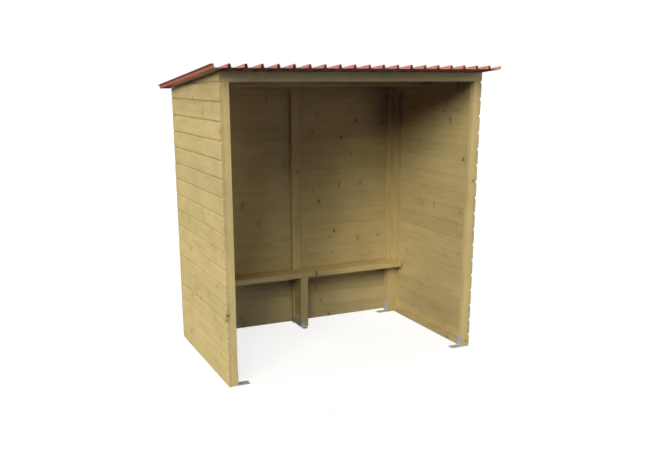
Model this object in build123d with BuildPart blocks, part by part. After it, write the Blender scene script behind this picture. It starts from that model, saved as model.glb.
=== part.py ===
"""Open-front wooden bus shelter: three boarded walls, a bench and a lean-to roof of ribbed sheet.

Millimetres, +Z up, +X to the right when looking in through the open front (+Y).
The origin lies on the ground under the middle of the bounding box.
"""
import math
import os

from build123d import *

# ---------------------------------------------------------------- driving sizes
overall_width = 2008.0  # across the side walls' boards
overall_depth = 1205.0  # from the front posts' faces to the outside of the back boards
front_height = 2120.0  # ground to the underside of the roof sheet, at the front posts
roof_slope = 5.5  # degrees, falling to the back

board_thickness = 20.0
board_cover = 122.0  # height of each board that shows
first_joint = 106.0  # ground to the lowest joint between two boards
groove_depth = 10.0  # of the hollow along each board's top edge, under the next board
groove_height = 24.0
back_board_gap = 6.0  # daylight under the back boards

post_width = 45.0
post_depth = 50.0
side_rail_height = 45.0
rail_thickness = 32.0
lintel_height = 66.0
stud_depth = 45.0
corner_stud_width = 90.0
middle_stud_width = 72.0
purlin_width = 45.0
purlin_height = 48.0
back_rail_height = 45.0

seat_height = 480.0
seat_depth = 184.0
seat_thickness = 44.0
seat_end_gap = 20.0  # between the seat's ends and the wall boards
seat_notch_gap = 2.0  # round the posts and studs that the seat is notched for
support_width = 66.0
end_support_depth = 60.0
middle_support_shift = 9.0  # the middle support stands a little right of the stud behind it

sheet_thickness = 2.0
rib_spacing = 107.0  # wanted; a whole number of ribs is fitted to each sheet
rib_height = 23.0
rib_top = 15.0
rib_base = 27.0
lap_gap = 0.5  # between two sheets where one lies over the other
overhang_left = 105.0
overhang_right = 27.5
overhang_front = 190.0
overhang_back = 4.0

bracket_leg = 90.0
bracket_width = 60.0
bracket_thickness = 2.5
bracket_bend = 4.0
anchor_hole = 11.0
anchor_inset = 25.0  # from the foot's free end to the hole's centre
bench_bracket_foot = 48.0
bench_bracket_leg = 35.0
bench_bracket_width = 45.0
bench_plate_width = 90.0
bench_plate_height = 90.0

# ---------------------------------------------------------------- worked-out places
slope = math.radians(roof_slope)
sheet_run = overhang_front + overall_depth + overhang_back
sheet_length = sheet_run / math.cos(slope)
roof_back_reach = (rib_height + sheet_thickness) * math.sin(slope)

# The left sheet starts with its first rib's top, and the right one ends halfway over its last.
roof_width = overhang_left + overall_width + overhang_right
sheet_cover = (roof_width - rib_top / 2) / 2
ribs_per_sheet = round(sheet_cover / rib_spacing)
rib_pitch = sheet_cover / ribs_per_sheet
web_lean = (rib_base - rib_top) / 2 / rib_height
lap_lift = sheet_thickness + lap_gap

# The walls' left face, middle and front, seen from the bounding box's middle.
roof_left = -roof_width / 2
wall_left = roof_left + overhang_left
wall_right = wall_left + overall_width
middle = (wall_left + wall_right) / 2
front = overhang_front - (sheet_run + roof_back_reach) / 2

frame_left = wall_left + board_thickness
frame_right = wall_right - board_thickness
inner_left = frame_left + post_width
inner_right = frame_right - post_width
back_boards = front + overall_depth - board_thickness
back_frame = back_boards - stud_depth
back_rail_front = back_boards - rail_thickness
rear_post = back_frame - post_depth
seat_front = back_boards - seat_depth
sheet_front = front - overhang_front

roof_underside = Plane(
    origin=(0, front, front_height),
    x_dir=(1, 0, 0),
    z_dir=(0, math.sin(slope), math.cos(slope)),
)


def under_roof(y):
    """Height of the roof sheet's underside at y."""
    return front_height - (y - front) * math.tan(slope)


def finish(piece, name):
    """Label a finished piece and write its file."""
    piece.part.label = name
    export_step(piece.part, f"parts/{name}.step")


def board_outline(bottom, inner, outward):
    """Section through a stack of shiplap boards, as (distance across the wall, height).

    Both faces are flat. Each joint shows outside as a hollow along the lower board's top edge,
    deepest under the board above. outward is +1 or -1. The last joint lies above the roof.
    """
    face = inner + outward * board_thickness
    root = face - outward * groove_depth
    joint = first_joint
    with BuildLine() as line:
        Polyline((inner, bottom), (face, bottom), (face, joint - groove_height))
        TangentArc((root, joint), (face, joint - groove_height), tangent=(0, -1))
        while joint < front_height:
            above = joint + board_cover
            Polyline((root, joint), (face, joint), (face, above - groove_height))
            TangentArc((root, above), (face, above - groove_height), tangent=(0, -1))
            joint = above
        Polyline((root, joint), (inner, joint), (inner, bottom))
    return line


def sheet_outline(first_rib, outer_web):
    """Cross-section of one roof sheet, as points (across, above the underside).

    first_rib is the middle of its first rib. Without outer_web the sheet starts with that rib's
    top. With it, the web stops just above the pan, to lie over the last rib of the sheet beside
    it, which is a half one, smaller by a sheet's thickness and a gap.
    """
    web_angle = math.atan2(1, web_lean)
    mitre = sheet_thickness * math.tan(web_angle / 2)
    crest = rib_height + sheet_thickness
    upper = []
    lower = []
    for rib in range(ribs_per_sheet):
        centre = first_rib + rib * rib_pitch
        if rib > 0:
            upper.append((centre - rib_base / 2, sheet_thickness))
            lower.append((centre - rib_base / 2 + mitre, 0))
        elif outer_web:
            upper.append((centre - rib_base / 2 + lap_gap * web_lean, lap_lift))
            lower.append((centre - rib_base / 2 + mitre + lap_lift * web_lean, lap_lift))
        upper.append((centre - rib_top / 2, crest))
        if rib > 0 or outer_web:
            lower.append((centre - rib_top / 2 + mitre, rib_height))
        else:
            lower.append((centre - rib_top / 2, rib_height))
        upper.append((centre + rib_top / 2, crest))
        upper.append((centre + rib_base / 2, sheet_thickness))
        lower.append((centre + rib_top / 2 - mitre, rib_height))
        lower.append((centre + rib_base / 2 - mitre, 0))
    end = first_rib + sheet_cover
    low_rib = rib_height - lap_lift
    low_crest = low_rib + sheet_thickness
    foot = end - rib_base / 2 + mitre + sheet_thickness * web_lean
    foot += lap_gap / math.sin(web_angle)
    upper.append((foot, sheet_thickness))
    upper.append((foot + low_rib * web_lean, low_crest))
    upper.append((end, low_crest))
    lower.append((foot + mitre, 0))
    lower.append((foot + low_rib * web_lean + mitre, low_rib))
    lower.append((end, low_rib))
    return upper + lower[::-1]


def bracket_outline(foot, leg):
    """Corners of a right-angle bracket with its bend rounded, foot along +X, leg up +Y."""
    with BuildLine() as line:
        Polyline(
            (bracket_bend, 0),
            (foot, 0),
            (foot, bracket_thickness),
            (bracket_bend, bracket_thickness),
        )
        RadiusArc(
            (bracket_bend, bracket_thickness),
            (bracket_thickness, bracket_bend),
            bracket_bend - bracket_thickness,
        )
        Polyline(
            (bracket_thickness, bracket_bend),
            (bracket_thickness, leg),
            (0, leg),
            (0, bracket_bend),
        )
        RadiusArc((0, bracket_bend), (bracket_bend, 0), -bracket_bend)
    return line


os.makedirs("parts", exist_ok=True)

# ---------------------------------------------------------------- side walls
for side in ("left", "right"):
    outward = -1 if side == "left" else 1
    frame_face = frame_left if side == "left" else frame_right
    post_centre = frame_face - outward * post_width / 2

    for end, post_front in (("front", front), ("rear", rear_post)):
        with BuildPart() as post:
            with BuildSketch(Plane.XY):
                with Locations((post_centre, post_front + post_depth / 2)):
                    Rectangle(post_width, post_depth)
            extrude(amount=front_height)
            split(bisect_by=roof_underside, keep=Keep.BOTTOM)
        finish(post, f"{side}_{end}_post")

    rail_front = front + post_depth
    with BuildPart() as bottom_rail:
        with BuildSketch(Plane.XY):
            with Locations((post_centre, (rail_front + rear_post) / 2)):
                Rectangle(post_width, rear_post - rail_front)
        extrude(amount=side_rail_height)
    finish(bottom_rail, f"{side}_bottom_rail")

    with BuildPart() as top_rail:
        with BuildSketch(Plane.YZ.offset(post_centre - post_width / 2)):
            with BuildLine():
                Polyline(
                    (rail_front, under_roof(rail_front)),
                    (rail_front, under_roof(rail_front) - side_rail_height),
                    (rear_post, under_roof(rear_post) - side_rail_height),
                    (rear_post, under_roof(rear_post)),
                    close=True,
                )
            make_face()
        extrude(amount=post_width)
    finish(top_rail, f"{side}_top_rail")

    with BuildPart() as boards:
        with BuildSketch(Plane.XZ.offset(-front)):
            add(board_outline(0, frame_face, outward).line)
            make_face()
        extrude(amount=front - back_boards)
        split(bisect_by=roof_underside, keep=Keep.BOTTOM)
    finish(boards, f"{side}_wall_boards")

# ---------------------------------------------------------------- back wall
# Its boards run over the ends of the side walls' boards.
with BuildPart() as back_wall_boards:
    with BuildSketch(Plane.YZ.offset(wall_left)):
        add(board_outline(back_board_gap, back_boards, 1).line)
        make_face()
    extrude(amount=overall_width)
    split(bisect_by=roof_underside, keep=Keep.BOTTOM)
finish(back_wall_boards, "back_wall_boards")

stud_centres = {
    "back_left_stud": (frame_left + corner_stud_width / 2, corner_stud_width),
    "back_middle_stud": (middle, middle_stud_width),
    "back_right_stud": (frame_right - corner_stud_width / 2, corner_stud_width),
}
for name, (centre, width) in stud_centres.items():
    with BuildPart() as stud:
        with BuildSketch(Plane.XY):
            with Locations((centre, back_frame + stud_depth / 2)):
                Rectangle(width, stud_depth)
        extrude(amount=front_height)
        split(bisect_by=roof_underside, keep=Keep.BOTTOM)
    finish(stud, name)

bay = (frame_right - frame_left - middle_stud_width) / 2 - corner_stud_width
bay_offset = (middle_stud_width + bay) / 2
for name, centre in (
    ("back_left_top_rail", middle - bay_offset),
    ("back_right_top_rail", middle + bay_offset),
):
    with BuildPart() as back_rail:
        with BuildSketch(Plane.YZ.offset(centre - bay / 2)):
            with BuildLine():
                Polyline(
                    (back_rail_front, under_roof(back_boards) - back_rail_height),
                    (back_boards, under_roof(back_boards) - back_rail_height),
                    (back_boards, under_roof(back_boards)),
                    (back_rail_front, under_roof(back_rail_front)),
                    close=True,
                )
            make_face()
        extrude(amount=bay)
    finish(back_rail, name)

# ---------------------------------------------------------------- roof carriers
with BuildPart() as front_lintel:
    with BuildSketch(Plane.YZ.offset(inner_left)):
        with BuildLine():
            Polyline(
                (front, front_height - lintel_height),
                (front + rail_thickness, front_height - lintel_height),
                (front + rail_thickness, under_roof(front + rail_thickness)),
                (front, front_height),
                close=True,
            )
        make_face()
    extrude(amount=inner_right - inner_left)
finish(front_lintel, "front_lintel")

purlin_front = front + (overall_depth - purlin_width) / 2
with BuildPart() as roof_purlin:
    with BuildSketch(Plane.YZ.offset(inner_left)):
        with BuildLine():
            Polyline(
                (purlin_front, under_roof(purlin_front)),
                (purlin_front, under_roof(purlin_front) - purlin_height),
                (purlin_front + purlin_width, under_roof(purlin_front) - purlin_height),
                (purlin_front + purlin_width, under_roof(purlin_front + purlin_width)),
                close=True,
            )
        make_face()
    extrude(amount=inner_right - inner_left)
finish(roof_purlin, "roof_purlin")

# ---------------------------------------------------------------- roof sheets
sheet_edge = Plane(
    origin=(0, sheet_front, under_roof(sheet_front)),
    x_dir=(1, 0, 0),
    z_dir=(0, -math.cos(slope), math.sin(slope)),
)
first_rib = roof_left + rib_top / 2
for name, sheet_start, outer_web in (
    ("roof_sheet_left", first_rib, False),
    ("roof_sheet_right", first_rib + sheet_cover, True),
):
    with BuildPart() as sheet:
        with BuildSketch(sheet_edge):
            with BuildLine():
                Polyline(*sheet_outline(sheet_start, outer_web), close=True)
            make_face()
        extrude(amount=-sheet_length)
    finish(sheet, name)

# ---------------------------------------------------------------- bench
seat_left = frame_left + seat_end_gap
seat_right = frame_right - seat_end_gap
seat_notches = (
    # centre x, width, front y of what stands there
    (frame_left + post_width / 2, post_width, rear_post),
    (frame_right - post_width / 2, post_width, rear_post),
    (frame_left + corner_stud_width / 2, corner_stud_width, back_frame),
    (frame_right - corner_stud_width / 2, corner_stud_width, back_frame),
    (middle, middle_stud_width, back_frame),
)
with BuildPart() as bench_seat:
    with BuildSketch(Plane.XY.offset(seat_height - seat_thickness)):
        with Locations(((seat_left + seat_right) / 2, seat_front + seat_depth / 2)):
            Rectangle(seat_right - seat_left, seat_depth)
        for centre, width, face in seat_notches:
            depth = back_boards - face + seat_notch_gap
            with Locations((centre, back_boards - depth / 2)):
                Rectangle(width + 2 * seat_notch_gap, depth, mode=Mode.SUBTRACT)
    extrude(amount=seat_thickness)
finish(bench_seat, "bench_seat")

end_support_front = back_frame - end_support_depth
for name, centre, near in (
    ("bench_left_support", inner_left + support_width / 2, end_support_front),
    ("bench_middle_support", middle + middle_support_shift, seat_front),
    ("bench_right_support", inner_right - support_width / 2, end_support_front),
):
    with BuildPart() as support:
        with BuildSketch(Plane.XY):
            with Locations((centre, (near + back_frame) / 2)):
                Rectangle(support_width, back_frame - near)
        extrude(amount=seat_height - seat_thickness)
    finish(support, name)

# ---------------------------------------------------------------- ground brackets
# Each stands against an upright's inner face, with its foot and anchor hole towards the middle.
rear_bracket_front = back_frame - bracket_width
bracket_places = (
    ("front_left_bracket", inner_left, front, 1),
    ("front_right_bracket", inner_right, front, -1),
    ("rear_left_bracket", inner_left + support_width, rear_bracket_front, 1),
    ("rear_right_bracket", inner_right - support_width, rear_bracket_front, -1),
)
for name, face, near, toward in bracket_places:
    foot_plane = Plane(
        origin=(face, near if toward > 0 else near + bracket_width, 0),
        x_dir=(toward, 0, 0),
        z_dir=(0, -toward, 0),
    )
    with BuildPart() as bracket:
        with BuildSketch(foot_plane):
            add(bracket_outline(bracket_leg, bracket_leg).line)
            make_face()
        extrude(amount=-bracket_width)
        hole_x = face + toward * (bracket_leg - anchor_inset)
        with Locations((hole_x, near + bracket_width / 2, bracket_thickness)):
            Hole(anchor_hole / 2, depth=2 * bracket_thickness)
    finish(bracket, name)

# A smaller one stands in front of the middle support, and a flat plate on its left face.
support_left = middle + middle_support_shift - support_width / 2
with BuildPart() as bench_bracket:
    with BuildSketch(Plane(origin=(support_left, seat_front, 0), x_dir=(0, -1, 0), z_dir=(-1, 0, 0))):
        add(bracket_outline(bench_bracket_foot, bench_bracket_leg).line)
        make_face()
    extrude(amount=-bench_bracket_width)
    hole_y = seat_front - bench_bracket_foot + anchor_inset
    with Locations((support_left + bench_bracket_width / 2, hole_y, bracket_thickness)):
        Hole(anchor_hole / 2, depth=2 * bracket_thickness)
finish(bench_bracket, "bench_bracket")

with BuildPart() as bench_side_plate:
    with BuildSketch(Plane.XY):
        with Locations((support_left - bracket_thickness / 2, (seat_front + back_frame) / 2)):
            Rectangle(bracket_thickness, bench_plate_width)
    extrude(amount=bench_plate_height)
finish(bench_side_plate, "bench_side_plate")
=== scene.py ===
"""An open-front bus shelter of treated pine: shiplap walls, a plank bench and a ribbed steel roof.

Laid out as an add-on. Run as a script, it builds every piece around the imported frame.
Lengths are in metres; +Z is up and the open front faces -Y.
"""

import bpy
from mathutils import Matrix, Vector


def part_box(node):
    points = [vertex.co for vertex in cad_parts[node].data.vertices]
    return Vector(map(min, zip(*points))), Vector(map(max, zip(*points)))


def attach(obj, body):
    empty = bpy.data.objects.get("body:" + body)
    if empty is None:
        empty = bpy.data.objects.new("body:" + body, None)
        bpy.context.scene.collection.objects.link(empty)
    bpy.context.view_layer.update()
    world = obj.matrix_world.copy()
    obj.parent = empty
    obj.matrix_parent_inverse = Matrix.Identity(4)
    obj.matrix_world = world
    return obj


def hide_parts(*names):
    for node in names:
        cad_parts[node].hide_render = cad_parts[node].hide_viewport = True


bl_info = {
    "name": "Timber Bus Shelter",
    "version": (1, 0, 0),
    "blender": (4, 5, 0),
    "location": "3D View > Sidebar > Shelter",
    "description": "Builds a shiplap bus shelter with a bench and a ribbed roof",
    "category": "Object",
}

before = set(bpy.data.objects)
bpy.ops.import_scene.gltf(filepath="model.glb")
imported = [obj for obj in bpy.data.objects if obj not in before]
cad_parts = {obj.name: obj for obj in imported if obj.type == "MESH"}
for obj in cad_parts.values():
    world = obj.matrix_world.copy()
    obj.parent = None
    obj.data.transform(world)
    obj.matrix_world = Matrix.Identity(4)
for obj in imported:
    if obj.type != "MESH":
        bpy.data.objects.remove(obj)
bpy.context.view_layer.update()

import math
import random

import bmesh
import bpy
from bpy.props import FloatProperty, FloatVectorProperty, IntProperty, PointerProperty
from mathutils import Vector

BODY = "root"
MM = 0.001
SHARP_TURN = math.radians(40)  # two faces that meet at more than this keep a crisp edge
X = Vector((1, 0, 0))
Y = Vector((0, 1, 0))
Z = Vector((0, 0, 1))

# ---------------------------------------- places read from the frame
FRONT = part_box("left_front_post")[0].y
WALL_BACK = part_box("left_wall_boards")[1].y
FRAME_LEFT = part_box("left_front_post")[0].x
FRAME_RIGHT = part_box("right_front_post")[1].x
BACK_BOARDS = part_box("back_middle_stud")[1].y
ROOF_EDGE_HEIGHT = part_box("left_front_post")[1].z
REAR_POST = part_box("left_rear_post")
ROOF_FALL = (ROOF_EDGE_HEIGHT - REAR_POST[1].z) / (REAR_POST[0].y - FRONT)
ROOF_ANGLE = math.atan(ROOF_FALL)
ROOF_NORMAL = Vector((0, math.sin(ROOF_ANGLE), math.cos(ROOF_ANGLE)))
ROOF_POINT = Vector((0, FRONT, ROOF_EDGE_HEIGHT))

WALL_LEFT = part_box("back_wall_boards")[0].x
WALL_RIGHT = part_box("back_wall_boards")[1].x

# The shiplap of the wall boards, as the frame has it.
BOARD_THICKNESS = 20 * MM
BOARD_COVER = 122 * MM
FIRST_JOINT = 106 * MM
GROOVE_DEPTH = 10 * MM
GROOVE_HEIGHT = 24 * MM
BACK_BOARD_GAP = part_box("back_wall_boards")[0].z
# The roof sheets, and where the first rib's middle stands in from the left edge.
SHEET = 2 * MM
FIRST_RIB = 7.5 * MM

# Each wall: its name, the foot of its boards, the way they run, where they start and end, the
# way out, and the point that lies along the wall, out from the frame and up.
WALLS = (
    ("left_wall", 0.0, Y, (FRONT, WALL_BACK), -X,
     lambda along, out, up: Vector((FRAME_LEFT - out, along, up))),
    ("right_wall", 0.0, Y, (FRONT, WALL_BACK), X,
     lambda along, out, up: Vector((FRAME_RIGHT + out, along, up))),
    ("back_wall", BACK_BOARD_GAP, X, (WALL_LEFT, WALL_RIGHT), Y,
     lambda along, out, up: Vector((along, BACK_BOARDS + out, up))),
)
BENCH_SUPPORTS = ("bench_left_support", "bench_middle_support", "bench_right_support")

# Sizes of the makers' work that the frame doesn't hold.
RAIL_ARRIS = 4 * MM  # bottom rails, lintel and purlin have the roundest edges
PLANK_ARRIS = 2 * MM
TONGUE = 9 * MM  # height of the tongue behind the next board's lower edge
SPRING = 0.5  # millimetres that a board may wave out of line
WAVE = 3.0  # radians of that wave to the metre
NAIL_HEIGHT = 30 * MM  # lower nail of a pair, above its board's lower edge
NAIL_PAIR = 40 * MM  # from one nail of a pair to the other
NAIL_STRAY = 3  # millimetres that a nail may miss its mark by
SCREW_STRAY = 4  # the same for a bench screw
TALL_LEG = 60 * MM  # a bracket's leg above this height has three screws
# Where a leg's screws stand: shares of half its width, and of its height.
TALL_LEG_SCREWS = ((-0.45, 0.84), (0.45, 0.84), (0, 0.5))
LOW_LEG_SCREWS = ((-0.4, 0.72), (0.4, 0.72))
# A roof screw's parts, as radius and height above the sheet in millimetres, from the sheet up.
WASHER = ((7, -0.3), (7.2, 0.9), (6.4, 1.5))
FLANGE = ((6.6, 1.3), (6.6, 1.9), (5.2, 2.6))
HEX_HEAD = ((4.6, 2.2), (4.6, 5.8), (4.1, 6.5))
WHITE = (1.0, 1.0, 1.0, 1)
BLACK = (0.0, 0.0, 0.0, 1)


def middle_of(node):
    """The middle of a CAD node's box: x, y and z."""
    return [(low + high) / 2 for low, high in zip(*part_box(node))]


def linear(hex_colour):
    """Turn an sRGB hex colour such as "D8C48F" into linear red, green and blue."""
    values = (int(hex_colour[i:i + 2], 16) / 255 for i in (0, 2, 4))
    return tuple(v / 12.92 if v <= 0.04045 else ((v + 0.055) / 1.055) ** 2.4 for v in values)


# ---------------------------------------- what a user may change
class ShelterTimberSettings(bpy.types.PropertyGroup):
    """Sizes and colours of the treated pine."""

    arris: FloatProperty(
        name="Arris", description="Rounding along the edges of planed timber",
        default=2.4 * MM, min=0.2 * MM, max=6 * MM, unit="LENGTH")
    board_round: FloatProperty(
        name="Board rounding", description="Rounding of a wall board's edges",
        default=1.2 * MM, min=0.2 * MM, max=3 * MM, unit="LENGTH")
    joint_gap: FloatProperty(
        name="Board joint", description="Gap left between two wall boards for swelling",
        default=0.4 * MM, min=0.1 * MM, max=4 * MM, unit="LENGTH")
    nail_head: FloatProperty(
        name="Nail head", description="Diameter of the nail heads in the wall boards",
        default=3.8 * MM, min=2 * MM, max=10 * MM, unit="LENGTH")
    ring_width: FloatProperty(
        name="Ring width", description="Width of one year's growth",
        default=5.0 * MM, min=1 * MM, max=15 * MM, unit="LENGTH")
    earlywood: FloatVectorProperty(
        name="Earlywood", description="Colour of the pale wood grown in spring",
        subtype="COLOR", min=0, max=1, default=linear("C6B27B"))
    latewood: FloatVectorProperty(
        name="Latewood", description="Colour of the dense wood grown in summer",
        subtype="COLOR", min=0, max=1, default=linear("AB8D53"))
    treatment: FloatVectorProperty(
        name="Treatment", description="Green-brown tint left by the pressure treatment",
        subtype="COLOR", min=0, max=1, default=linear("958B51"))
    long_knot: FloatVectorProperty(
        name="Long knots", description="Colour of knots cut lengthwise",
        subtype="COLOR", min=0, max=1, default=linear("86693A"))
    knot: FloatVectorProperty(
        name="Knots", description="Colour of the knots",
        subtype="COLOR", min=0, max=1, default=linear("7A5E2F"))


class ShelterRoofSettings(bpy.types.PropertyGroup):
    """Sizes and colours of the roof and the metal fixings."""

    bend: FloatProperty(
        name="Bend radius", description="Outside radius of the sheet's folds",
        default=3.2 * MM, min=2.2 * MM, max=6 * MM, unit="LENGTH")
    rib_spacing: FloatProperty(
        name="Rib spacing", description="Distance from one roof rib to the next",
        default=106.65 * MM, min=50 * MM, max=300 * MM, unit="LENGTH")
    screw_step: IntProperty(
        name="Pans per screw", description="Number of pans from one roof screw to the next",
        default=2, min=1, max=5)
    coating: FloatVectorProperty(
        name="Coating", description="Colour of the baked-on coating",
        subtype="COLOR", min=0, max=1, default=linear("C3745A"))
    zinc: FloatVectorProperty(
        name="Zinc", description="Colour of the galvanised steel",
        subtype="COLOR", min=0, max=1, default=linear("CDCCD0"))


class ShelterStageSettings(bpy.types.PropertyGroup):
    """Floor, light and backdrop."""

    brightness: FloatProperty(
        name="Brightness", description="Share of each light's usual strength",
        default=1.0, min=0, max=10)
    softness: FloatProperty(
        name="Softness", description="Apparent width of each light",
        default=math.radians(16), min=0, max=math.radians(90), subtype="ANGLE")
    room_strength: FloatProperty(
        name="Room light", description="Brightness of the daylight that fills the studio",
        default=0.09, min=0, max=5)
    room_tint: FloatVectorProperty(
        name="Room tint", description="Colour of the daylight that fills the studio",
        subtype="COLOR", min=0, max=1, default=linear("3086FF"))
    lamp_tint: FloatVectorProperty(
        name="Lamp tint", description="Colour of the lamps' light",
        subtype="COLOR", min=0, max=1, default=linear("FFFDF5"))
    glow: FloatProperty(
        name="Floor glow", description="Light given off by the studio floor",
        default=0.8, min=0, max=5)
    floor: FloatVectorProperty(
        name="Floor", description="Colour of the studio floor",
        subtype="COLOR", min=0, max=1, default=linear("8F8F8E"))


# ---------------------------------------- mesh helpers
def node_solid(node):
    """A CAD node's solid with its flat faces whole, as a bmesh."""
    solid = bmesh.new()
    solid.from_mesh(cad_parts[node].data)
    bmesh.ops.remove_doubles(solid, verts=solid.verts, dist=1e-5)
    bmesh.ops.dissolve_limit(
        solid, angle_limit=math.radians(0.5), verts=solid.verts, edges=solid.edges)
    return solid


def slice_across(solid, direction, spacing):
    """Cut a solid's faces about every spacing along direction, so that none is very long."""
    reach = [v.co.dot(direction) for v in solid.verts]
    count = max(1, round((max(reach) - min(reach)) / spacing))
    for step in range(1, count):
        at = min(reach) + (max(reach) - min(reach)) * step / count
        bmesh.ops.bisect_plane(
            solid, geom=solid.verts[:] + solid.edges[:] + solid.faces[:],
            plane_co=direction * at, plane_no=direction)


def cut_under_roof(solid):
    """Remove what stands above the roof's underside and close the cut."""
    result = bmesh.ops.bisect_plane(
        solid, geom=solid.verts[:] + solid.edges[:] + solid.faces[:],
        plane_co=ROOF_POINT, plane_no=ROOF_NORMAL, clear_outer=True)
    edges = [g for g in result["geom_cut"] if isinstance(g, bmesh.types.BMEdge)]
    if edges:
        bmesh.ops.edgenet_fill(solid, edges=edges)


def mark_ends(solid, direction):
    """Mark the faces where a saw or shears crossed the piece, and return their layer."""
    ends = solid.faces.layers.float.new("end_grain")
    for face in solid.faces:
        face[ends] = 1.0 if abs(face.normal.dot(direction)) > 0.8 else 0.0
    return ends


def grain_layers(solid, direction, across, start, tone):
    """Write each point's place in its own log, its board's tone, and each face's cut.

    The cut is end_grain where the saw crossed the log, and hollow where the cutter left a slope; hollow
    faces are later painted darker as shade.
    direction runs along the log. start is that log's own origin: x along it, y and z from the
    pith, so that the growth rings of two boards never match.
    """
    grain = solid.verts.layers.float_vector.new("grain")
    shade = solid.verts.layers.float.new("tone")
    through = direction.cross(across)
    for vertex in solid.verts:
        place = Vector((vertex.co.dot(direction), vertex.co.dot(across), vertex.co.dot(through)))
        vertex[grain] = place + start
        vertex[shade] = tone
    ends = mark_ends(solid, direction)
    hollow = solid.faces.layers.float.new("hollow")
    for face in solid.faces:
        face[hollow] = 1.0 if 0.1 < face.normal.z < 0.9 and not face[ends] else 0.0


def log_start(middle, direction, across, rng):
    """A random place in a log for a piece whose middle is given, 35 to 110 mm off the pith."""
    through = direction.cross(across)
    pith = Vector((rng.uniform(0, 90), rng.uniform(-0.035, 0.035), rng.choice((-1, 1))))
    pith.z *= rng.uniform(0.035, 0.11)
    return pith - Vector((0, middle.dot(across), middle.dot(through)))


def add_object(name, data):
    """A new object in the scene that holds a mesh, a light or a camera."""
    thing = bpy.data.objects.new(name, data)
    bpy.context.scene.collection.objects.link(thing)
    return thing


def make_piece(name, solid, material, replaces=()):
    """Clean a bmesh and turn it into a piece of the shelter that rides on the frame."""
    bmesh.ops.dissolve_degenerate(solid, dist=1e-6, edges=solid.edges)
    bmesh.ops.recalc_face_normals(solid, faces=solid.faces)
    for edge in solid.edges:
        edge.smooth = edge.calc_face_angle(0.0) < SHARP_TURN
    data = bpy.data.meshes.new(name)
    solid.to_mesh(data)
    solid.free()
    data.materials.append(material)
    for polygon in data.polygons:
        polygon.use_smooth = True
    piece = add_object(name, data)
    weighted = piece.modifiers.new("weighted_normals", "WEIGHTED_NORMAL")
    weighted.keep_sharp = True
    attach(piece, BODY)
    if replaces:
        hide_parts(*replaces)


def merge(target, part):
    """Add one bmesh to another, with its layers, and free it."""
    data = bpy.data.meshes.new("part")
    part.to_mesh(data)
    part.free()
    target.from_mesh(data)
    bpy.data.meshes.remove(data)


def join_rings(solid, rings):
    """Close a row of rings of points into a solid: a band between each two, and both ends."""
    count = len(rings[0])
    for first, second in zip(rings, rings[1:]):
        for i in range(count):
            j = (i + 1) % count
            solid.faces.new((first[i], first[j], second[j], second[i]))
    solid.faces.new(rings[0][::-1])
    solid.faces.new(rings[-1])


def sweep(outline, start, end, steps, place):
    """A closed solid that runs an outline from start to end; place turns a point into 3-D."""
    solid = bmesh.new()
    stations = [start + (end - start) * step / steps for step in range(steps + 1)]
    join_rings(solid, [[solid.verts.new(place(point, at)) for point in outline] for at in stations])
    bmesh.ops.recalc_face_normals(solid, faces=solid.faces)
    return solid


def rounded(outline, outer, inner):
    """Round a closed anticlockwise outline: outer on its corners, inner in its hollows."""
    segments = 3
    points = []
    for i, corner in enumerate(outline):
        corner = Vector(corner)
        before = Vector(outline[i - 1]) - corner
        after = Vector(outline[(i + 1) % len(outline)]) - corner
        turn = before.angle(after)
        convex = before.x * after.y - before.y * after.x < 0
        radius = outer if convex else inner
        reach = radius / math.tan(turn / 2)
        limit = 0.45 * min(before.length, after.length)
        if reach > limit:
            radius *= limit / reach
            reach = limit
        if turn > math.radians(175) or radius < 1e-5:
            points.append(corner)
            continue
        before.normalize()
        after.normalize()
        start = corner + before * reach
        end = corner + after * reach
        middle = corner + (before + after).normalized() * (radius / math.sin(turn / 2))
        for step in range(segments + 1):
            share = step / segments
            points.append(middle + (start - middle).slerp(end - middle, share) * radius)
    return points


def circle(radius, sides):
    """Points round a circle, as x and y."""
    turns = [math.tau * i / sides for i in range(sides)]
    return [(radius * math.cos(turn), radius * math.sin(turn)) for turn in turns]


def head(solid, centre, axis, profile, sides):
    """Add a head standing on a surface; profile is radius and height in millimetres, upwards."""
    turn = Z.rotation_difference(axis).to_matrix()
    rings = []
    for radius, height in profile:
        ring = [Vector((x, y, height * MM)) for x, y in circle(radius * MM, sides)]
        rings.append([solid.verts.new(centre + turn @ point) for point in ring])
    join_rings(solid, rings)


def nail(solid, centre, axis, radius):
    """A flat nail head driven flush, with a faint crown; radius in millimetres."""
    head(solid, centre, axis, (
        (radius, -0.8), (radius, 0.05), (0.85 * radius, 0.2), (0.4 * radius, 0.3)), 12)


def wood_screw(solid, centre, axis, radius):
    """A pan head with a round driver recess; radius in millimetres."""
    head(solid, centre, axis, (
        (radius, -0.5), (radius, 0.5), (0.9 * radius, 1.4), (0.62 * radius, 2.0),
        (0.36 * radius, 2.1), (0.32 * radius, 0.9)), 16)


# ---------------------------------------- materials
def set_sockets(tree, node, sockets):
    """Give a node's sockets values or other nodes' outputs."""
    for key, value in sockets.items():
        if isinstance(value, bpy.types.NodeSocket):
            tree.links.new(value, node.inputs[key])
        else:
            node.inputs[key].default_value = value


def add_node(tree, kind, sockets=None, **settings):
    """Add a node with its settings and its sockets' values and links."""
    node = tree.nodes.new(kind)
    for key, value in settings.items():
        setattr(node, key, value)
    set_sockets(tree, node, sockets or {})
    return node


def drawn_out(tree, place, stretch, detail, roughness=0.5):
    """Noise with stretch patches to the metre along each way."""
    mapped = add_node(tree, "ShaderNodeMapping", {"Vector": place, "Scale": stretch})
    return add_node(tree, "ShaderNodeTexNoise", {
        "Vector": mapped.outputs[0], "Scale": 1.0, "Detail": detail, "Roughness": roughness})


def new_material(name):
    """An empty material, its node tree and its shader."""
    material = bpy.data.materials.new(name)
    material.use_nodes = True
    tree = material.node_tree
    return material, tree, tree.nodes["Principled BSDF"]


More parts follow.
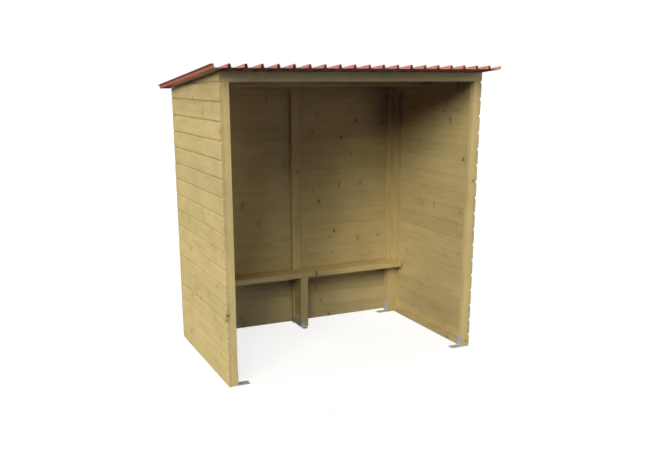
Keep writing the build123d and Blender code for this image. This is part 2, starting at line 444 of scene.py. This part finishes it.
def knots(tree, grain, ragged, cell, rarity, squeeze, small, large):
    """Scatter knots over a face: the distance from a knot's edge, whether there is one, its lot.

    One knot may stand in each cell, and only where the cell's lot is above rarity. squeeze is a
    knot's length along the board over its width across it, and small and large bound its radius.
    """
    bent = add_node(tree, "ShaderNodeMapping", {"Vector": grain, "Scale": (1.0, squeeze, 1.0)})
    cells = add_node(tree, "ShaderNodeTexVoronoi", {
        "Vector": bent.outputs[0], "Scale": 1 / cell, "Randomness": 0.9}, voronoi_dimensions="2D")
    away = add_node(tree, "ShaderNodeMath", {
        0: cells.outputs["Distance"], 1: cell}, operation="MULTIPLY")
    away = add_node(tree, "ShaderNodeMath", {
        0: ragged.outputs["Fac"], 1: 5 * MM, 2: away.outputs[0]}, operation="MULTIPLY_ADD")
    lots = add_node(tree, "ShaderNodeSeparateColor", {"Color": cells.outputs["Color"]})
    size = add_node(tree, "ShaderNodeMapRange", {
        "Value": lots.outputs["Red"], "From Min": rarity, "To Min": small, "To Max": large},
        clamp=False)
    edge = add_node(tree, "ShaderNodeMath", {
        0: away.outputs[0], 1: size.outputs[0]}, operation="SUBTRACT")
    present = add_node(tree, "ShaderNodeMath", {
        0: lots.outputs["Red"], 1: rarity}, operation="GREATER_THAN")
    return edge.outputs[0], present.outputs[0], lots.outputs["Green"]


def treated_pine(name, timber, sawn):
    """Pressure-treated pine: straw yellow with a green-brown cast, knots and thin summer rings.

    sawn is 1 for the band-sawn wall boards, which are rougher and a little darker and show more
    of their long knots, and 0 for planed timber, which shows more of its rings.
    """
    material, tree, shader = new_material(name)
    grain = add_node(tree, "ShaderNodeAttribute", attribute_name="grain").outputs["Vector"]
    tone, end_grain, hollow = (
        add_node(tree, "ShaderNodeAttribute", attribute_name=layer).outputs["Fac"]
        for layer in ("tone", "end_grain", "hollow"))

    # The log isn't straight: its pith wanders by some 12 mm over about half a metre.
    wander = drawn_out(tree, grain, (2.0, 9.0, 9.0), 2.0)
    centred = add_node(tree, "ShaderNodeVectorMath", {
        0: wander.outputs["Color"], 1: (0.5, 0.5, 0.5)}, operation="SUBTRACT")
    shifted = add_node(tree, "ShaderNodeVectorMath", {
        0: centred.outputs[0], 1: (0.0, 0.05, 0.05), 2: grain}, operation="MULTIPLY_ADD")
    radial = add_node(tree, "ShaderNodeVectorMath", {
        0: shifted.outputs[0], 1: (0.0, 1.0, 1.0)}, operation="MULTIPLY")
    radius = add_node(tree, "ShaderNodeVectorMath", {0: radial.outputs[0]}, operation="LENGTH")

    # Round knots are 10 to 20 mm wide and dark, with a darker rim.
    ragged = add_node(tree, "ShaderNodeTexNoise", {"Vector": grain, "Scale": 90.0, "Detail": 2.0})
    edge, has_knot, _ = knots(
        tree, grain, ragged, cell=260 * MM, rarity=0.62, squeeze=0.75, small=5 * MM, large=10 * MM)
    knot = add_node(tree, "ShaderNodeMapRange", {
        "Value": edge, "From Min": 4 * MM, "From Max": -1 * MM, "To Max": 0.85},
        interpolation_type="SMOOTHSTEP")
    knot = add_node(tree, "ShaderNodeMath", {0: knot.outputs[0], 1: has_knot}, operation="MULTIPLY")
    rim = add_node(tree, "ShaderNodeMapRange", {
        "Value": edge, "From Min": -4 * MM, "From Max": 1 * MM}, interpolation_type="SMOOTHSTEP")
    near = add_node(tree, "ShaderNodeMapRange", {
        "Value": edge, "From Min": 45 * MM, "From Max": 0.0}, interpolation_type="SMOOTHERSTEP")
    near = add_node(tree, "ShaderNodeMath", {0: near.outputs[0], 1: has_knot}, operation="MULTIPLY")

    # Knots cut lengthwise are soft brown smears across the board, some stronger than others.
    edge, has_long_knot, lot = knots(
        tree, grain, ragged, cell=210 * MM, rarity=0.38, squeeze=0.42, small=8 * MM, large=19 * MM)
    strength = add_node(tree, "ShaderNodeMapRange", {"Value": lot, "To Min": 0.3})
    long_knot = add_node(tree, "ShaderNodeMapRange", {
        "Value": edge, "From Min": 8 * MM, "From Max": -3 * MM, "To Max": 0.3 + 0.65 * sawn},
        interpolation_type="SMOOTHSTEP")
    for share in (has_long_knot, strength.outputs[0]):
        long_knot = add_node(tree, "ShaderNodeMath", {
            0: long_knot.outputs[0], 1: share}, operation="MULTIPLY")

    # Growth rings swerve round each knot. Each darkens slowly and then turns pale at once.
    swerved = add_node(tree, "ShaderNodeMath", {
        0: near.outputs[0], 1: 16 * MM, 2: radius.outputs["Value"]}, operation="MULTIPLY_ADD")
    turns = add_node(tree, "ShaderNodeMath", {
        0: swerved.outputs[0], 1: 1 / timber.ring_width}, operation="MULTIPLY")
    phase = add_node(tree, "ShaderNodeMath", {0: turns.outputs[0]}, operation="FRACT")
    ring = add_node(tree, "ShaderNodeValToRGB", {"Fac": phase.outputs[0]})
    spring, summer = ring.color_ramp.elements
    spring.position = 0.25
    spring.color = BLACK
    summer.position = 0.86
    summer.color = WHITE
    ring.color_ramp.elements.new(0.98).color = (0.1, 0.1, 0.1, 1)

    # Fibres: streaks about 2 mm wide and a hand long, and broad ones some 25 mm wide.
    fibre = drawn_out(tree, shifted.outputs[0], (6.0, 420.0, 420.0), 3.0, 0.6).outputs["Fac"]
    streak = drawn_out(tree, shifted.outputs[0], (1.6, 42.0, 42.0), 3.0, 0.55)

    # The saw runs in and out of the summer wood, in soft brown clouds some 200 mm long.
    figure = drawn_out(tree, grain, (4.5, 20.0, 20.0), 1.5, 0.4)
    cloudy = add_node(tree, "ShaderNodeMapRange", {
        "Value": figure.outputs["Fac"], "From Min": 0.46, "From Max": 0.74, "To Max": 0.32})

    # The treatment soaks in unevenly, in patches some 300 mm across.
    place = add_node(tree, "ShaderNodeTexCoord").outputs["Object"]
    soak = add_node(tree, "ShaderNodeTexNoise", {
        "Vector": place, "Scale": 3.2, "Detail": 2.0, "Roughness": 0.5})
    soaked = add_node(tree, "ShaderNodeMapRange", {
        "Value": soak.outputs["Fac"], "From Min": 0.35, "From Max": 0.75, "To Max": 0.24})

    ring_share = add_node(tree, "ShaderNodeMath", {
        0: ring.outputs["Color"], 1: 0.11 + 0.1 * (1 - sawn)}, operation="MULTIPLY")
    wood = add_node(tree, "ShaderNodeMix", {
        "Factor": ring_share.outputs[0], 6: (*timber.earlywood, 1), 7: (*timber.latewood, 1)},
        data_type="RGBA")
    for share, stain in ((cloudy, timber.latewood), (soaked, timber.treatment)):
        wood = add_node(tree, "ShaderNodeMix", {
            "Factor": share.outputs[0], 6: wood.outputs[2], 7: (*stain, 1)}, data_type="RGBA")

    # Streaks, fibres and each board's own tone vary the colour. End grain drinks more of the
    # treatment and dries darker. The hollow between two boards is painted darker, as painted shade.
    gain = add_node(tree, "ShaderNodeMapRange", {
        "Value": streak.outputs["Fac"], "From Min": 0.3, "From Max": 0.7, "To Min": 0.95, "To Max": 1.03})
    for varied in (
            {"Value": tone, "To Min": 0.97 - 0.05 * sawn, "To Max": 1.10 - 0.05 * sawn},
            {"Value": fibre, "From Min": 0.3, "From Max": 0.7, "To Min": 0.97, "To Max": 1.02},
            {"Value": end_grain, "To Min": 1.0, "To Max": 0.94},
            # Painted shade: the sloped faces of the hollow on sawn boards get a darker colour.
            {"Value": hollow, "To Min": 1.0, "To Max": 1 - 0.12 * sawn}):
        share = add_node(tree, "ShaderNodeMapRange", varied)
        gain = add_node(tree, "ShaderNodeMath", {
            0: gain.outputs[0], 1: share.outputs[0]}, operation="MULTIPLY")
    shaded = add_node(tree, "ShaderNodeVectorMath", {
        0: wood.outputs[2], "Scale": gain.outputs[0]}, operation="SCALE")

    # The wood round a knot is warmer. Long knots lie in it, and round ones over all.
    warm = add_node(tree, "ShaderNodeMath", {0: near.outputs[0], 1: 0.3}, operation="MULTIPLY")
    knot_wood = add_node(tree, "ShaderNodeMix", {
        "Factor": rim.outputs[0], 6: (*timber.knot, 1), 7: (*(c * 0.4 for c in timber.knot), 1)},
        data_type="RGBA")
    colour = shaded.outputs[0]
    for share, over in (
            (warm, (*timber.latewood, 1)),
            (long_knot, (*timber.long_knot, 1)),
            (knot, knot_wood.outputs[2])):
        colour = add_node(tree, "ShaderNodeMix", {
            "Factor": share.outputs[0], 6: colour, 7: over}, data_type="RGBA").outputs[2]

    # The saw leaves a faint ridge across the board every 4 mm; planed faces have none.
    saw = drawn_out(tree, grain, (250.0, 12.0, 12.0), 1.0)
    relief = fibre
    for height, share in (
            (ring.outputs["Color"], 0.35), (saw.outputs["Fac"], 0.5 * sawn), (knot.outputs[0], 0.6)):
        relief = add_node(tree, "ShaderNodeMath", {
            0: height, 1: share, 2: relief}, operation="MULTIPLY_ADD").outputs[0]
    bump = add_node(tree, "ShaderNodeBump", {
        "Height": relief, "Strength": 0.28, "Distance": 0.5 * MM})

    # Raw wood scatters light evenly: no shine on sawn faces, a faint one on planed faces.
    rough = add_node(tree, "ShaderNodeMapRange", {
        "Value": fibre, "To Min": 0.6 + 0.15 * sawn, "To Max": 0.75 + 0.2 * sawn})
    set_sockets(tree, shader, {
        "Base Color": colour, "Roughness": rough.outputs[0], "IOR": 1.5, "Specular IOR Level": 0.25,
        "Normal": bump.outputs[0]})
    return material


def coated_steel(name, roof):
    """Polyester-coated steel sheet: an even brick red with a low satin gloss, a little chalked."""
    material, tree, shader = new_material(name)
    place = add_node(tree, "ShaderNodeTexCoord").outputs["Object"]
    cut = add_node(tree, "ShaderNodeAttribute", attribute_name="end_grain").outputs["Fac"]
    # Chalk comes in clouds about 250 mm across, and rain has washed it down in streaks.
    cloud = add_node(tree, "ShaderNodeTexNoise", {
        "Vector": place, "Scale": 4.0, "Detail": 5.0, "Roughness": 0.6})
    washed = drawn_out(tree, place, (70.0, 2.5, 70.0), 3.0)
    faded = add_node(tree, "ShaderNodeMath", {
        0: cloud.outputs["Fac"], 1: washed.outputs["Fac"]}, operation="MULTIPLY")
    share = add_node(tree, "ShaderNodeMapRange", {
        "Value": faded.outputs[0], "From Min": 0.12, "From Max": 0.45, "To Max": 0.12})
    grey, grey_share = 0.45, 0.28
    chalk = (*((1 - grey_share) * c + grey_share * grey for c in roof.coating), 1)
    colour = add_node(tree, "ShaderNodeMix", {
        "Factor": share.outputs[0], 6: (*roof.coating, 1), 7: chalk}, data_type="RGBA")
    # Bare zinc shows at the cut ends.
    edge = add_node(tree, "ShaderNodeMath", {0: cut, 1: 0.35}, operation="MULTIPLY")
    colour = add_node(tree, "ShaderNodeMix", {
        "Factor": edge.outputs[0], 6: colour.outputs[2], 7: (*roof.zinc, 1)}, data_type="RGBA")
    rough = add_node(tree, "ShaderNodeMapRange", {
        "Value": cloud.outputs["Fac"], "From Min": 0.3, "From Max": 0.7, "To Min": 0.36, "To Max": 0.44})
    # Baked coatings have an orange-peel ripple about 2 mm across.
    peel = add_node(tree, "ShaderNodeTexNoise", {"Vector": place, "Scale": 450.0, "Detail": 1.0})
    bump = add_node(tree, "ShaderNodeBump", {
        "Height": peel.outputs["Fac"], "Strength": 0.25, "Distance": 0.1 * MM})
    set_sockets(tree, shader, {
        "Base Color": colour.outputs[2], "Roughness": rough.outputs[0], "IOR": 1.5,
        "Normal": bump.outputs[0]})
    return material


def galvanised_steel(name, roof):
    """Hot-dip galvanised steel: dull silver with crystals of zinc, some brighter than others."""
    material, tree, shader = new_material(name)
    place = add_node(tree, "ShaderNodeTexCoord").outputs["Object"]
    # The crystals are 4 to 10 mm across.
    crystals = add_node(tree, "ShaderNodeTexVoronoi", {"Vector": place, "Scale": 150.0})
    split = add_node(tree, "ShaderNodeSeparateColor", {"Color": crystals.outputs["Color"]})
    level = add_node(tree, "ShaderNodeMapRange", {
        "Value": split.outputs["Red"], "To Min": 0.84, "To Max": 1.08})
    colour = add_node(tree, "ShaderNodeVectorMath", {
        0: tuple(roof.zinc), "Scale": level.outputs[0]}, operation="SCALE")
    # White rust dulls it in patches.
    haze = add_node(tree, "ShaderNodeTexNoise", {
        "Vector": place, "Scale": 35.0, "Detail": 5.0, "Roughness": 0.65})
    white_rust = add_node(tree, "ShaderNodeMapRange", {
        "Value": haze.outputs["Fac"], "From Min": 0.52, "From Max": 0.8, "To Max": 0.4})
    dulled = add_node(tree, "ShaderNodeMix", {
        "Factor": white_rust.outputs[0], 6: colour.outputs[0], 7: (*linear("D9DAD8"), 1)},
        data_type="RGBA")
    rough = add_node(tree, "ShaderNodeMapRange", {
        "Value": split.outputs["Green"], "To Min": 0.45, "To Max": 0.62})
    bump = add_node(tree, "ShaderNodeBump", {
        "Height": haze.outputs["Fac"], "Strength": 0.3, "Distance": 0.1 * MM})
    set_sockets(tree, shader, {
        "Base Color": dulled.outputs[2], "Metallic": 0.45, "Roughness": rough.outputs[0],
        "Normal": bump.outputs[0]})
    return material


def washer_rubber(name):
    """EPDM rubber, moulded: near black, matt, with a little pale dust."""
    material, tree, shader = new_material(name)
    place = add_node(tree, "ShaderNodeTexCoord").outputs["Object"]
    dust = add_node(tree, "ShaderNodeTexNoise", {"Vector": place, "Scale": 300.0, "Detail": 3.0})
    share = add_node(tree, "ShaderNodeMapRange", {
        "Value": dust.outputs["Fac"], "From Min": 0.45, "From Max": 0.75, "To Max": 0.3})
    colour = add_node(tree, "ShaderNodeMix", {
        "Factor": share.outputs[0], 6: (*linear("2A2A2B"), 1), 7: (*linear("77736B"), 1)},
        data_type="RGBA")
    set_sockets(tree, shader, {"Base Color": colour.outputs[2], "Roughness": 0.8})
    return material


def studio_floor(name, stage):
    """Matt acrylic sheet lit from below: pale and even, with a barely visible mottle."""
    material, tree, shader = new_material(name)
    place = add_node(tree, "ShaderNodeTexCoord").outputs["Object"]
    mottle = add_node(tree, "ShaderNodeTexNoise", {"Vector": place, "Scale": 1.5, "Detail": 4.0})
    level = add_node(tree, "ShaderNodeMapRange", {"Value": mottle.outputs["Fac"], "To Min": 0.985})
    colour = add_node(tree, "ShaderNodeVectorMath", {
        0: tuple(stage.floor), "Scale": level.outputs[0]}, operation="SCALE")
    set_sockets(tree, shader, {
        "Base Color": colour.outputs[0], "Roughness": 0.9, "Emission Color": WHITE,
        "Emission Strength": stage.glow})
    return material


def white_backdrop(name):
    """White paper lit from behind: an even glow."""
    material, tree, shader = new_material(name)
    set_sockets(tree, shader, {
        "Base Color": BLACK, "Specular IOR Level": 0.0, "Emission Color": WHITE,
        "Emission Strength": 1.0})
    return material


def material_named(name, build, *details):
    """The material of that name, built the first time it is asked for."""
    return bpy.data.materials.get(name) or build(name, *details)


# ---------------------------------------- wall boards
def board_outline(low, high, first, timber):
    """Section of one shiplap board: (distance out from the frame, height), anticlockwise.

    Both faces are flat. Along its top a hollow runs in to a tongue, which stands in a rebate
    behind the next board's lower edge.
    """
    root = BOARD_THICKNESS - GROOVE_DEPTH
    rebate = TONGUE + timber.joint_gap
    behind = root + timber.joint_gap
    if first:
        points = [(0, low), (BOARD_THICKNESS, low)]
    else:
        points = [(0, low + rebate), (behind, low + rebate), (behind, low), (BOARD_THICKNESS, low)]
    # The hollow is part of a circle that runs smoothly into the tongue.
    radius = (GROOVE_DEPTH ** 2 + GROOVE_HEIGHT ** 2) / (2 * GROOVE_DEPTH)
    steps = 6
    for step in range(steps + 1):
        below = GROOVE_HEIGHT - GROOVE_HEIGHT * step / steps
        points.append((root + radius - math.sqrt(radius ** 2 - below ** 2), high - below))
    points += [(root, high + TONGUE), (0, high + TONGUE)]
    return rounded(points, timber.board_round, 0.3 * MM)


def shiplap_wall(wall, bottom, direction, reach, point_of, timber, material, rng):
    """One wall of shiplap boards; each springs a little out of line along its length."""
    node = f"{wall}_boards"
    boards = bmesh.new()
    low = bottom
    high = FIRST_JOINT
    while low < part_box(node)[1].z:
        outline = board_outline(low, high, low == bottom, timber)
        spring = rng.uniform(-SPRING, SPRING) * MM
        phase = rng.uniform(0, math.tau)

        def place(point, along):
            """Stand a point of the section in the wall; the lowest edge stays straight."""
            rise = spring * math.sin(phase + WAVE * along) * (point.y > bottom + 5 * MM)
            return point_of(along, point.x, point.y + rise)

        board = sweep(outline, *reach, 14, place)
        cut_under_roof(board)
        if board.verts:
            middle = point_of(0, BOARD_THICKNESS / 2, (low + high) / 2)
            grain_layers(board, direction, Z, log_start(middle, direction, Z, rng), rng.random())
            merge(boards, board)
        else:
            board.free()
        low = high
        high += BOARD_COVER
    make_piece(f"{wall}_shiplap", boards, material, (node,))


class SHELTER_OT_wall_boards(bpy.types.Operator):
    """Build the three walls of shiplap boards"""

    bl_idname = "shelter.wall_boards"
    bl_label = "Wall boards"

    def execute(self, context):
        timber = context.scene.shelter_timber
        sawn = material_named("sawn_treated_pine", treated_pine, timber, 1.0)
        rng = random.Random(11)
        for wall, bottom, direction, reach, _, point_of in WALLS:
            shiplap_wall(wall, bottom, direction, reach, point_of, timber, sawn, rng)
        return {"FINISHED"}


# ---------------------------------------- frame and bench timber
def timber_piece(name, node, direction, across, material, timber, rng, arris=None):
    """A CAD timber with rounded arrises and its own grain."""
    solid = node_solid(node)
    bmesh.ops.bevel(
        solid, geom=solid.edges[:], offset=arris or timber.arris, segments=3, profile=0.6,
        affect="EDGES", clamp_overlap=True)
    slice_across(solid, direction, 160 * MM)
    start = log_start(Vector(middle_of(node)), direction, across, rng)
    grain_layers(solid, direction, across, start, rng.random())
    make_piece(name, solid, material, (node,))


class SHELTER_OT_frame_timber(bpy.types.Operator):
    """Build the posts, studs, rails, lintel and purlin"""

    bl_idname = "shelter.frame_timber"
    bl_label = "Frame timber"

    def execute(self, context):
        timber = context.scene.shelter_timber
        planed = material_named("planed_treated_pine", treated_pine, timber, 0.0)
        rng = random.Random(23)
        for direction, across, arris, nodes in (
                (Z, X, None, (
                    "left_front_post", "left_rear_post", "right_front_post", "right_rear_post",
                    "back_left_stud", "back_middle_stud", "back_right_stud")),
                (Y, Z, RAIL_ARRIS, ("left_bottom_rail", "right_bottom_rail")),
                (Y, Z, None, ("left_top_rail", "right_top_rail")),
                (X, Z, None, ("back_left_top_rail", "back_right_top_rail")),
                (X, Z, RAIL_ARRIS, ("front_lintel", "roof_purlin"))):
            for node in nodes:
                timber_piece(
                    f"{node}_timber", node, direction, across, planed, timber, rng, arris)
        return {"FINISHED"}


class SHELTER_OT_bench(bpy.types.Operator):
    """Build the bench plank and its supports"""

    bl_idname = "shelter.bench"
    bl_label = "Bench"

    def execute(self, context):
        timber = context.scene.shelter_timber
        planed = material_named("planed_treated_pine", treated_pine, timber, 0.0)
        rng = random.Random(31)
        timber_piece("bench_plank", "bench_seat", X, Y, planed, timber, rng, PLANK_ARRIS)
        for node in BENCH_SUPPORTS:
            timber_piece(f"{node}_timber", node, Z, Y, planed, timber, rng)
        return {"FINISHED"}


# ---------------------------------------- roof
def front_section(node, direction):
    """A prism's front outline in its own plane, anticlockwise, and where the prism starts and ends."""
    solid = node_solid(node)
    faces = [f for f in solid.faces if f.normal.dot(direction) < -0.9]
    face = max(faces, key=lambda f: f.calc_area())
    leftmost = min((v.co for v in face.verts), key=lambda place: place.x)
    outline = [Vector(((v.co - ROOF_POINT).x, (v.co - ROOF_POINT).dot(ROOF_NORMAL))) for v in face.verts]
    start = (leftmost - ROOF_POINT).dot(direction)
    end = max((v.co - ROOF_POINT).dot(direction) for v in solid.verts)
    solid.free()
    area = sum(a.x * b.y - b.x * a.y for a, b in zip(outline, outline[1:] + outline[:1]))
    if area < 0:
        outline.reverse()
    return outline, start, end


class SHELTER_OT_roof_sheets(bpy.types.Operator):
    """Build the two ribbed roof sheets with folded edges"""

    bl_idname = "shelter.roof_sheets"
    bl_label = "Roof sheets"

    def execute(self, context):
        roof = context.scene.shelter_roof
        coated = material_named("coated_roof_steel", coated_steel, roof)
        down = Vector((0, math.cos(ROOF_ANGLE), -math.sin(ROOF_ANGLE)))
        for node in ("roof_sheet_left", "roof_sheet_right"):
            outline, start, end = front_section(node, down)
            sheet = sweep(
                rounded(outline, roof.bend, roof.bend - SHEET), start, end, 10,
                lambda point, at: ROOF_POINT + X * point.x + ROOF_NORMAL * point.y + down * at)
            mark_ends(sheet, down)
            make_piece(f"{node}_folded", sheet, coated, (node,))
        return {"FINISHED"}


# ---------------------------------------- metal fixings
def pressed_bracket(node, material):
    """A CAD bracket with its cut edges broken; the bend and the hole stay as they are."""
    solid = node_solid(node)
    sharp = [e for e in solid.edges
             if e.is_manifold and e.calc_face_angle() > math.radians(60) and e.calc_length() > 6 * MM]
    bmesh.ops.bevel(solid, geom=sharp, offset=0.5 * MM, segments=2, profile=0.6, affect="EDGES")
    make_piece(f"{node}_pressed", solid, material, (node,))


class SHELTER_OT_brackets(bpy.types.Operator):
    """Build the galvanised ground brackets and the screws in their legs"""

    bl_idname = "shelter.brackets"
    bl_label = "Ground brackets"

    def execute(self, context):
        zinc = material_named("galvanised_steel", galvanised_steel, context.scene.shelter_roof)
        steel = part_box("bench_side_plate")[1].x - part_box("bench_side_plate")[0].x
        screws = bmesh.new()
        # A leg stands on the low or high side of its bracket's box, and its screws point that way.
        for node, out, side in (
                ("front_left_bracket", X, 0), ("front_right_bracket", -X, 1),
                ("rear_left_bracket", X, 0), ("rear_right_bracket", -X, 1),
                ("bench_bracket", -Y, 1), ("bench_side_plate", -X, 1)):
            pressed_bracket(node, zinc)
            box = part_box(node)
            middle = Vector(middle_of(node))
            face = middle + out * ((box[side] - middle).dot(out) + steel)
            along = Vector((abs(out.y), abs(out.x), 0))
            half = (box[1] - box[0]).dot(along) / 2
            tall = box[1].z
            for across, up in TALL_LEG_SCREWS if tall > TALL_LEG else LOW_LEG_SCREWS:
                place = face + along * across * half
                place.z = tall * up
                wood_screw(screws, place, out, radius=4.2)
        make_piece("bracket_screws", screws, zinc)
        return {"FINISHED"}


class SHELTER_OT_nails(bpy.types.Operator):
    """Drive the nails that hold the wall boards, and the screws that hold the bench"""

    bl_idname = "shelter.nails"
    bl_label = "Nails and bench screws"

    def execute(self, context):
        zinc = material_named("galvanised_steel", galvanised_steel, context.scene.shelter_roof)
        radius = context.scene.shelter_timber.nail_head / 2 / MM
        rng = random.Random(47)
        studs = [middle_of(f"back_{side}_stud")[0] for side in ("left", "middle", "right")]
        posts = [middle_of(f"left_{end}_post")[1] for end in ("front", "rear")]
        face = BOARD_THICKNESS + 0.1 * MM
        for wall, _, direction, _, out, point_of in WALLS:
            nails = bmesh.new()
            base = FIRST_JOINT - BOARD_COVER
            while base + NAIL_HEIGHT < ROOF_EDGE_HEIGHT:
                for line in studs if direction == X else posts:
                    for height in (NAIL_HEIGHT, NAIL_HEIGHT + NAIL_PAIR):
                        level = base + height + rng.uniform(-NAIL_STRAY, NAIL_STRAY) * MM
                        along = line + rng.uniform(-NAIL_STRAY, NAIL_STRAY) * MM
                        centre = point_of(along, face, level)
                        # None stands right at the ground or right under the roof.
                        if level > 15 * MM and (centre - ROOF_POINT).dot(ROOF_NORMAL) < -12 * MM:
                            nail(nails, centre, out, radius)
                base += BOARD_COVER
            make_piece(f"{wall}_nails", nails, zinc)

        # Two screws go into each support, with their heads let into the seat.
        screws = bmesh.new()
        seat_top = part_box("bench_seat")[1].z
        for node in BENCH_SUPPORTS:
            low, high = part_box(node)
            for share in (0.22, 0.72):
                place = Vector((
                    middle_of(node)[0] + rng.uniform(-SCREW_STRAY, SCREW_STRAY) * MM,
                    low.y + (high.y - low.y) * share, seat_top - 1.6 * MM))
                wood_screw(screws, place, Z, radius=4.6)
        make_piece("bench_screws", screws, zinc)
        return {"FINISHED"}


class SHELTER_OT_roof_screws(bpy.types.Operator):
    """Set the self-drilling screws that hold the roof sheets to the timber below"""

    bl_idname = "shelter.roof_screws"
    bl_label = "Roof screws"

    def execute(self, context):
        roof = context.scene.shelter_roof
        coated = material_named("coated_roof_steel", coated_steel, roof)
        rubber = material_named("washer_rubber", washer_rubber)
        first_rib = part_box("roof_sheet_left")[0].x + FIRST_RIB
        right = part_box("roof_sheet_right")[1].x
        screws = bmesh.new()
        washers = bmesh.new()
        for carrier in ("front_lintel", "roof_purlin", "back_left_top_rail"):
            back = middle_of(carrier)[1] - FRONT
            pan = 1
            while first_rib + (pan + 0.5) * roof.rib_spacing < right:
                x = first_rib + (pan + 0.5) * roof.rib_spacing
                if FRAME_LEFT < x < FRAME_RIGHT:
                    under = ROOF_POINT + X * x + Vector((0, back, -back * ROOF_FALL))
                    top = under + ROOF_NORMAL * SHEET
                    head(washers, top, ROOF_NORMAL, WASHER, 24)
                    head(screws, top, ROOF_NORMAL, FLANGE, 24)
                    head(screws, top, ROOF_NORMAL, HEX_HEAD, 6)
                pan += roof.screw_step
        make_piece("roof_screws", screws, coated)
        make_piece("roof_washers", washers, rubber)
        return {"FINISHED"}


# ---------------------------------------- stage
def studio_mesh(name, points, faces, material):
    """A part of the studio that only the camera sees: it neither lights nor shades the shelter."""
    data = bpy.data.meshes.new(name)
    data.from_pydata(points, [], faces)
    data.materials.append(material)
    part = add_object(name, data)
    part.visible_diffuse = False
    part.visible_glossy = False
    part.visible_shadow = False


def studio_room(stage):
    """The room's own light: faint, even and blue, as from a north window."""
    world = bpy.data.worlds.new("studio_room")
    world.use_nodes = True
    background = world.node_tree.nodes["Background"]
    background.inputs["Color"].default_value = (*stage.room_tint, 1)
    background.inputs["Strength"].default_value = stage.room_strength
    return world


def soft_light(name, azimuth, elevation, strength, stage):
    """A wide light far away; azimuth turns from the front towards the left, in degrees."""
    turn, rise = math.radians(azimuth), math.radians(elevation)
    source = Vector((-math.sin(turn) * math.cos(rise), -math.cos(turn) * math.cos(rise), math.sin(rise)))
    data = bpy.data.lights.new(name, "SUN")
    data.energy = strength * stage.brightness
    data.color = stage.lamp_tint
    data.angle = stage.softness
    light = add_object(name, data)
    light.rotation_euler = (-source).to_track_quat("-Z", "Y").to_euler()


LIGHTS = (
    # name, degrees from the front towards the left, degrees up, strength
    ("key_light", 53, 18, 1.40),
    ("high_key_light", 50, 31, 0.61),
    ("high_front_light", 30, 31, 0.53),
    ("top_light", 30, 45, 0.72),
    ("left_light", 90, 18, 0.73),
    ("low_left_light", 90, 5, 0.72),
    ("right_light", -55, 14, 0.69),
    ("low_right_light", -55, 3, 0.54),
    ("front_light", -12, 3, 0.18),
    ("rear_right_light", -125, 28, 1.3),
    ("rear_left_light", 160, 35, 0.9),
)


class SHELTER_OT_stage(bpy.types.Operator):
    """Set up the pale floor, the backdrop, the soft lights and the camera"""

    bl_idname = "shelter.stage"
    bl_label = "Stage"

    def execute(self, context):
        scene = context.scene
        stage = scene.shelter_stage
        room = 60.0  # radius and height
        skirt = 0.5  # how far the backdrop reaches below the floor
        sides = 48
        ring = circle(room, sides)
        studio_mesh(
            "studio_floor", [(x, y, 0.0) for x, y in ring], [tuple(range(sides))],
            material_named("lit_studio_floor", studio_floor, stage))
        studio_mesh(
            "studio_backdrop",
            [(x, y, -skirt) for x, y in ring] + [(x, y, room) for x, y in ring],
            [(i, (i + 1) % sides, sides + (i + 1) % sides, sides + i) for i in range(sides)]
            + [tuple(range(sides, 2 * sides))],
            material_named("lit_backdrop", white_backdrop))

        scene.world = studio_room(stage)
        for light in LIGHTS:
            soft_light(*light, stage)

        lens = bpy.data.cameras.new("camera")
        lens.sensor_width = 36.0
        lens.lens = 41.379
        lens.shift_x = 0.01033
        lens.shift_y = 0.08200
        camera = add_object("camera", lens)
        camera.location = (-2.45665, -5.23110, 2.0684)
        camera.rotation_euler = [math.radians(angle) for angle in (75.263, 0.05, -25.113)]
        scene.camera = camera
        scene.view_settings.view_transform = "Standard"
        return {"FINISHED"}


# ---------------------------------------- add-on
OPERATORS = (
    SHELTER_OT_wall_boards,
    SHELTER_OT_frame_timber,
    SHELTER_OT_bench,
    SHELTER_OT_roof_sheets,
    SHELTER_OT_brackets,
    SHELTER_OT_nails,
    SHELTER_OT_roof_screws,
    SHELTER_OT_stage,
)
SETTINGS = (
    ("shelter_timber", ShelterTimberSettings),
    ("shelter_roof", ShelterRoofSettings),
    ("shelter_stage", ShelterStageSettings),
)


class SHELTER_PT_panel(bpy.types.Panel):
    """Steps and settings of the bus shelter"""

    bl_idname = "SHELTER_PT_panel"
    bl_label = "Bus shelter"
    bl_space_type = "VIEW_3D"
    bl_region_type = "UI"
    bl_category = "Shelter"

    def draw(self, context):
        for name, group in SETTINGS:
            box = self.layout.box()
            settings = getattr(context.scene, name)
            for key in group.__annotations__:
                box.prop(settings, key)
        for operator in OPERATORS:
            self.layout.operator(operator.bl_idname)


def register():
    """Add the settings, the steps and the panel."""
    for name, group in SETTINGS:
        bpy.utils.register_class(group)
        setattr(bpy.types.Scene, name, PointerProperty(type=group))
    for operator in OPERATORS:
        bpy.utils.register_class(operator)
    bpy.utils.register_class(SHELTER_PT_panel)


def unregister():
    """Take them away again."""
    bpy.utils.unregister_class(SHELTER_PT_panel)
    for operator in reversed(OPERATORS):
        bpy.utils.unregister_class(operator)
    for name, group in reversed(SETTINGS):
        delattr(bpy.types.Scene, name)
        bpy.utils.unregister_class(group)


def main():
    """Register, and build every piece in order."""
    register()
    for operator in OPERATORS:
        group, name = operator.bl_idname.split(".")
        getattr(getattr(bpy.ops, group), name)()


if __name__ == "__main__":
    main()
